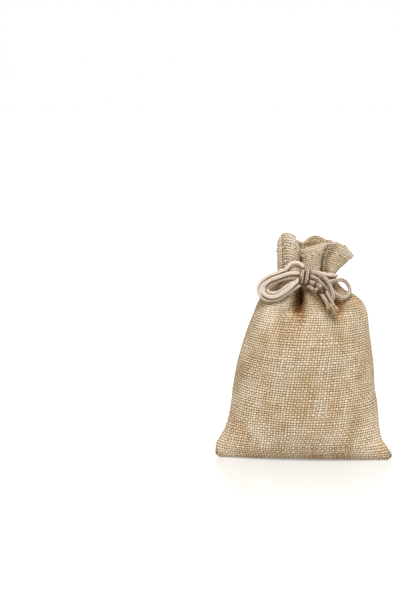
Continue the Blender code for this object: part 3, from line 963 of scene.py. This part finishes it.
# A route's first and last points lie inside the knot or the cloth.
ROUTES = {
    "cord_neck": (
        (-12.6, -3.4, 98.6),
        (-13.9, -6.6, 99.2), (-12.5, -8.2, 99.8), (-10.0, -9.3, 100.2),
        (-6.9, -9.7, 100.6), (-3.8, -9.7, 100.7), (-0.6, -9.8, 100.3),
        (2.5, -9.8, 99.7), (5.7, -9.6, 99.4), (8.8, -9.4, 98.7),
        (11.8, -8.6, 98.0), (14.4, -6.6, 97.4), (16.4, -3.2, 97.0),
        (13.6, 1.2, 96.8),
    ),
    "loop_left_outer": (
        (-0.6, -12.8, 101.4),
        (-1.5, -11.9, 103.1), (-2.8, -11.5, 104.1), (-4.7, -11.2, 104.6),
        (-7.1, -11.3, 104.2), (-9.0, -11.7, 102.4), (-10.7, -11.9, 100.5),
        (-13.6, -11.6, 99.2), (-17.5, -11.1, 97.8), (-21.0, -10.8, 95.8),
        (-23.4, -10.6, 93.4), (-24.4, -10.6, 90.7), (-24.1, -11.0, 88.4),
        (-22.6, -11.8, 86.4), (-20.1, -12.8, 85.2), (-17.1, -13.6, 85.0),
        (-13.8, -14.2, 85.8), (-10.9, -14.5, 87.7), (-8.1, -14.7, 89.7),
        (-5.4, -14.9, 91.7), (-2.9, -14.9, 93.3),
        (-0.8, -13.8, 94.6),
    ),
    "loop_left_middle": (
        (-0.8, -13.4, 98.9),
        (-3.2, -13.8, 99.3), (-5.6, -13.8, 99.5), (-8.4, -13.8, 99.2),
        (-11.5, -13.7, 98.2), (-14.6, -13.6, 97.0), (-18.0, -13.1, 95.6),
        (-20.7, -12.9, 93.5), (-21.9, -12.7, 91.2), (-21.8, -13.3, 89.0),
        (-20.3, -14.2, 87.7), (-17.7, -15.4, 87.0), (-14.5, -16.3, 87.6),
        (-11.7, -16.8, 89.2), (-8.8, -17.0, 91.3), (-6.0, -16.7, 93.8),
        (-3.2, -15.7, 96.3),
        (-0.8, -14.2, 97.6),
    ),
    "loop_left_inner": (
        (-0.8, -12.6, 96.6),
        (-3.2, -12.4, 96.9), (-5.6, -12.4, 97.0), (-8.4, -12.2, 96.7),
        (-11.5, -12.0, 96.0), (-14.4, -11.8, 95.0), (-17.2, -11.2, 93.8),
        (-19.1, -10.9, 92.1), (-19.8, -11.0, 90.3), (-19.0, -11.7, 88.9),
        (-16.5, -12.5, 88.5), (-13.4, -13.2, 89.4), (-10.6, -13.6, 91.5),
        (-7.8, -13.4, 93.4), (-5.5, -13.0, 94.3), (-3.2, -12.2, 94.4),
        (-0.9, -12.2, 94.4),
    ),
    "loop_right_front": (
        (-0.2, -12.6, 99.9),
        (2.0, -12.5, 100.0), (4.1, -12.4, 99.7), (6.9, -12.5, 98.9),
        (9.8, -13.2, 97.4), (12.0, -14.2, 95.0), (13.5, -15.2, 92.3),
        (14.4, -16.0, 89.6), (14.8, -16.4, 87.4), (14.4, -15.9, 86.0),
        (13.6, -14.6, 86.2), (13.0, -13.7, 87.7), (12.1, -13.2, 89.5),
        (10.7, -13.3, 91.5), (8.6, -13.8, 93.8), (6.4, -14.4, 96.1),
        (4.1, -14.9, 97.7), (2.0, -15.0, 98.3),
        (-0.2, -14.2, 98.0),
    ),
    "loop_right_back": (
        (-0.2, -12.4, 97.2),
        (2.0, -12.0, 96.9), (5.2, -11.4, 96.0), (8.8, -10.8, 95.2),
        (12.5, -9.6, 94.7), (15.1, -8.4, 94.9), (17.8, -6.8, 95.2),
        (20.1, -5.6, 94.8), (22.2, -4.8, 92.9), (23.4, -5.2, 90.6),
        (23.4, -7.0, 88.5), (21.8, -10.2, 86.8), (19.3, -12.6, 86.7),
        (16.7, -12.0, 88.2), (13.6, -10.6, 90.1), (9.9, -10.9, 91.8),
        (5.7, -11.6, 93.2), (2.0, -12.2, 94.3),
        (-0.3, -12.4, 94.6),
    ),
}
clean_cord = knitted_cord("knitted_cord", (
    (0.0, "#4f3c2a"), (0.32, "#a48d73"), (0.6, "#dbccb9"), (1.0, "#f8f2e8"),
))
# Painted shade: the ends, the knots and the loops to the right take a darker,
# greyer copy of the cord.
painted_shade_cord = knitted_cord("knitted_cord_painted_shade", (
    (0.0, "#20130a"), (0.32, "#66503b"), (0.62, "#b09a82"), (1.0, "#f2e7d8"),
))
PAINTED_SHADE_LOOPS = ("loop_right_front", "loop_right_back")
cords = {}
for node, route in ROUTES.items():
    line, length = through_points(route, RING_STEP)
    name = node.replace("loop", "bow").replace("cord", "drawstring")
    yarn = painted_shade_cord if node in PAINTED_SHADE_LOOPS else clean_cord
    piece = add_piece(name, cord_mesh(name, [line]), yarn, (node,))
    cords[node] = (piece, line, length)

# ------------------------------------------------------------------ The bow
# The knot of the bow, the cord laid twice over the loops and drawn tight, and
# the cords' ends below it, knotted together and frayed where they were cut.

KNOT_CENTRE = (-0.3, -13.8, 97.5)
KNOT_HALF = (1.1, 2.3, 3.3)  # half width, depth and height of a turn
KNOT_LEAN = 0.45  # how far the turns lean across each other
wraps = []
angles = np.linspace(0, 2 * np.pi, 90)
for side in (-1, 1):
    x = KNOT_CENTRE[0] + side * KNOT_HALF[0] + KNOT_LEAN * np.sin(angles + 0.5 * side)
    y = KNOT_CENTRE[1] - KNOT_HALF[1] * np.cos(angles)
    z = KNOT_CENTRE[2] + KNOT_HALF[2] * np.sin(angles)
    wraps.append(np.stack([x, y, z], axis=1))
knot_mesh = cord_mesh("bow_knot", wraps, closed=True)
bow_knot = add_piece("bow_knot", knot_mesh, painted_shade_cord, ("knot",))

TAILS = {
    "upper": (
        (-0.4, -13.4, 96.0), (2.0, -15.0, 95.4), (3.7, -16.4, 95.1),
        (5.2, -17.6, 94.6), (7.6, -18.6, 92.9), (10.4, -18.8, 91.0),
        (12.0, -19.4, 88.4), (13.6, -19.9, 85.8), (15.0, -20.4, 83.2),
    ),
    "lower": (
        (-0.4, -13.4, 93.6), (1.8, -14.7, 92.9), (3.3, -15.8, 92.2),
        (4.8, -17.0, 91.4), (6.8, -18.6, 91.0), (8.8, -19.8, 89.2),
        (10.3, -20.7, 87.0), (11.6, -21.4, 84.9),
    ),
}
tails, tail_lines = [], []
for tail, route in TAILS.items():
    line, length = through_points(route, RING_STEP)
    tail_lines.append(line)
    name, nodes = "bow_tail_" + tail, ("tail_root_" + tail, "tail_end_" + tail)
    tails.append(add_piece(name, cord_mesh(name, [line]), painted_shade_cord, nodes))

TAIL_KNOT_CENTRE = (7.4, -19.0, 92.2)
TREFOIL = 0.72  # half the size of the knot's turns, as a trefoil
TREFOIL_TURN = (0.3, math.radians(40), 0.2)
TREFOIL_CORD = 2.0  # diameter, with the cord drawn tight
angles = np.linspace(0, 2 * np.pi, 160)
trefoil = np.stack([
    np.sin(angles) + 2 * np.sin(2 * angles),
    -1.1 * np.sin(3 * angles),
    np.cos(angles) - 2 * np.cos(2 * angles),
], axis=1) * TREFOIL
turned = np.array(Euler(TREFOIL_TURN).to_matrix())
trefoil = trefoil @ turned.T + np.array(TAIL_KNOT_CENTRE)
knot_mesh = cord_mesh("tail_knots", [trefoil], diameter=TREFOIL_CORD, closed=True)
tail_knot = add_piece("tail_knots", knot_mesh, painted_shade_cord, ("tail_knot",))

# The frayed ends: the cord's yarns stand apart past the cut.
FRAY_YARNS = 34
FRAY_START = 1.0  # how far back inside the cord a yarn starts ...
FRAY_WITHIN = 0.8  # ... and within what share of its radius
FRAY_LENGTH = (2.8, 5.2)
FRAY_SPREAD = 0.42
FRAY_STRAY = 0.25
FRAY_CURL = 1.6  # how late along its length a yarn bends away
FRAY_THICKNESS = 0.36
chance = np.random.default_rng(5)
frays = []
for line in tail_lines:
    end = line[-1]
    ahead = unit(end - line[-12])
    first = unit(np.cross(ahead, (0.0, 1.0, 0.2)))
    second = np.cross(ahead, first)
    for number in range(FRAY_YARNS):
        turn, out = chance.uniform(0, 2 * math.pi), math.sqrt(chance.uniform(0, 1))
        aside = first * math.cos(turn) + second * math.sin(turn)
        start = end - ahead * FRAY_START + aside * out * CORD / 2 * FRAY_WITHIN
        reach = chance.uniform(*FRAY_LENGTH)
        along = np.linspace(0, 1, 7)[:, None]
        bent = aside * (FRAY_SPREAD * out * reach) + chance.normal(0, FRAY_STRAY, 3)
        frays.append(start + ahead * reach * along + bent * along ** FRAY_CURL)
raw_yarn = spun_thread("cut_yarn_ends", ((0.3, "#8a6c48"), (0.7, "#d2b890")), 0.9)
fray_mesh = thread_mesh("frayed_ends", frays, FRAY_THICKNESS / 2, 5)
frayed_ends = add_piece("frayed_ends", fray_mesh, raw_yarn)

# How near the next strand's surface is, for the shade painted into each cord's
# colour, and the shadow painted on the cloth close under the cords.
CREVICE = 0.7  # millimetres over which the shade in a gap fades
CLOTH_SHADE = 0.16
CLOTH_REACH = 1.0  # and over which that on the cloth fades
CLOTH_FROM = 78.0  # no cord is near the cloth below this height
AT_ONCE = 3000  # spots that are measured together


def nearest_gap(spots, lines):
    """How far each spot is from the surface of the nearest of the cords."""
    marks = np.concatenate([line[::3] for line in lines])
    gaps = [
        np.linalg.norm(part[:, None] - marks, axis=2).min(axis=1)
        for part in np.array_split(spots, len(spots) // AT_ONCE + 1)
    ]
    return np.maximum(np.concatenate(gaps) - CORD / 2, 0)


def places_of(mesh):
    spots = np.empty(len(mesh.vertices) * 3, dtype=np.float32)
    mesh.vertices.foreach_get("co", spots)
    return spots.reshape(-1, 3) / MM


strands = [(piece, [line]) for piece, line, length in cords.values()]
strands += [(piece, [line]) for piece, line in zip(tails, tail_lines)]
strands += [(bow_knot, wraps), (tail_knot, [trefoil])]
all_lines = [line for piece, lines in strands for line in lines]
for piece, lines in strands:
    spots = places_of(piece.data)
    shades = []
    for line in lines:
        here, spots = np.split(spots, [len(line) * CORD_SIDES])
        others = [other for other in all_lines if other is not line]
        shades.append(np.exp(-nearest_gap(here, others) / CREVICE))
    give_values(piece.data, "crevice", np.concatenate(shades))

# Painted shadow on the cloth close under the cords, added to its fold values.
front = bpy.data.objects["sack_front"].data
spots = places_of(front)
near = spots[:, 2] > CLOTH_FROM
shaded = np.empty(len(spots), dtype=np.float32)
layer = front.attributes["fold"].data
layer.foreach_get("value", shaded)
shaded[near] += CLOTH_SHADE * np.exp(-nearest_gap(spots[near], all_lines) / CLOTH_REACH)
layer.foreach_set("value", shaded)

# ------------------------------------------------- The floor and the lights
# A white sweep with a faint shine, lit softly from all round and by one broad
# lamp above and in front, with a painted shadow close round the sack. The
# backdrop itself is brighter than the room.

SIDE_LIGHT = 0.22  # strength of the room's light from the level ...
SKY_LIGHT = 0.60  # ... and from straight above
RIGHT_LIGHT = 0.32  # how much stronger the right of the room is, or the left weaker
LAMP = 3.42
LAMP_ANGLE = 0.6  # in radians, the breadth of the lamp seen from the sack
LAMP_PLACE = (-0.03, -0.58, 0.83)
FLOOR_SIZE = 6.0
FLOOR_GLOW = 0.25  # light that the sweep adds to the sack ...
FLOOR_SEEN = 0.46  # ... and how far the picture burns the sweep out
FLOOR_NEAR = 0.325  # the same close round the sack
FLOOR_REACH = (0.045, 0.11)  # from where to where it changes, in front ...
FLOOR_ACROSS = 0.6  # ... and across, as a share
corners = [(x * FLOOR_SIZE, y * FLOOR_SIZE, 0) for x, y in ((-1, -1), (1, -1), (1, 1), (-1, 1))]
floor_mesh = bpy.data.meshes.new("floor")
floor_mesh.from_pydata(corners, [], [(0, 1, 2, 3)])
floor = put("floor", floor_mesh)
white_sweep, tree, shader = new_material("white_sweep")
place = times(tree, add(tree, "TexCoord", output=3), (FLOOR_ACROSS, 1.0, 0.0))
# Painted shadow: close round the sack the sweep glows less and shows darker.
burned = add(tree, "MapRange", {
    "Value": add(tree, "VectorMath", {0: place}, 1, operation="LENGTH"),
    "From Min": FLOOR_REACH[0], "From Max": FLOOR_REACH[1],
    "To Min": FLOOR_NEAR, "To Max": FLOOR_SEEN,
})
pictured = add(tree, "LightPath")
glow = {"Value": pictured, "To Min": FLOOR_GLOW, "To Max": burned}
fill(tree, shader, {
    "Base Color": linear("#bcbbb9"),
    "Roughness": 0.2,
    "Emission Color": (1.0, 0.995, 0.985, 1.0),
    "Emission Strength": add(tree, "MapRange", glow),
})
floor_mesh.materials.append(white_sweep)

world = bpy.data.worlds.new("studio")
bpy.context.scene.world = world
world.use_nodes = True
tree = world.node_tree
upward = add(tree, "SeparateXYZ", {0: add(tree, "TexCoord")}, 2)
rightward = upward.node.outputs[0]
room = add(tree, "MapRange", {"Value": upward, "To Min": SIDE_LIGHT, "To Max": SKY_LIGHT})
room = calc(tree, "MULTIPLY_ADD", rightward, RIGHT_LIGHT, room)
room = calc(tree, "MAXIMUM", room, 0.0)
# What the camera sees of it, and what the floor mirrors, is plain white.
seen = add(tree, "LightPath")
white = calc(tree, "MAXIMUM", seen, seen.node.outputs["Is Glossy Ray"])
fill(tree, tree.nodes["Background"], {
    "Color": (1.0, 1.0, 1.0, 1.0),
    "Strength": add(tree, "MapRange", {"Value": white, "To Min": room, "To Max": 1.0}),
})

lamp = bpy.data.lights.new("key", "SUN")
lamp.energy = LAMP
lamp.angle = LAMP_ANGLE
key = put("key", lamp)
key.location = LAMP_PLACE
key.rotation_euler = (-key.location).to_track_quat("-Z", "Y").to_euler()

# --------------------------------------------------------------- The camera
# A short telephoto lens a little above the sack and nearly square on to it.
camera = put("camera", bpy.data.cameras.new("camera"))
camera.data.lens = 89.49
camera.data.sensor_width = 36.0
camera.data.sensor_fit = "AUTO"
camera.data.clip_start = 0.05
camera.data.clip_end = 50.0
camera.location = (0.0, -0.786604, 0.205788)
camera.rotation_euler = (math.radians(90 - 8.8999), 0.0, math.radians(4.0447))
bpy.context.scene.camera = camera
bpy.context.scene.view_settings.view_transform = "Standard"
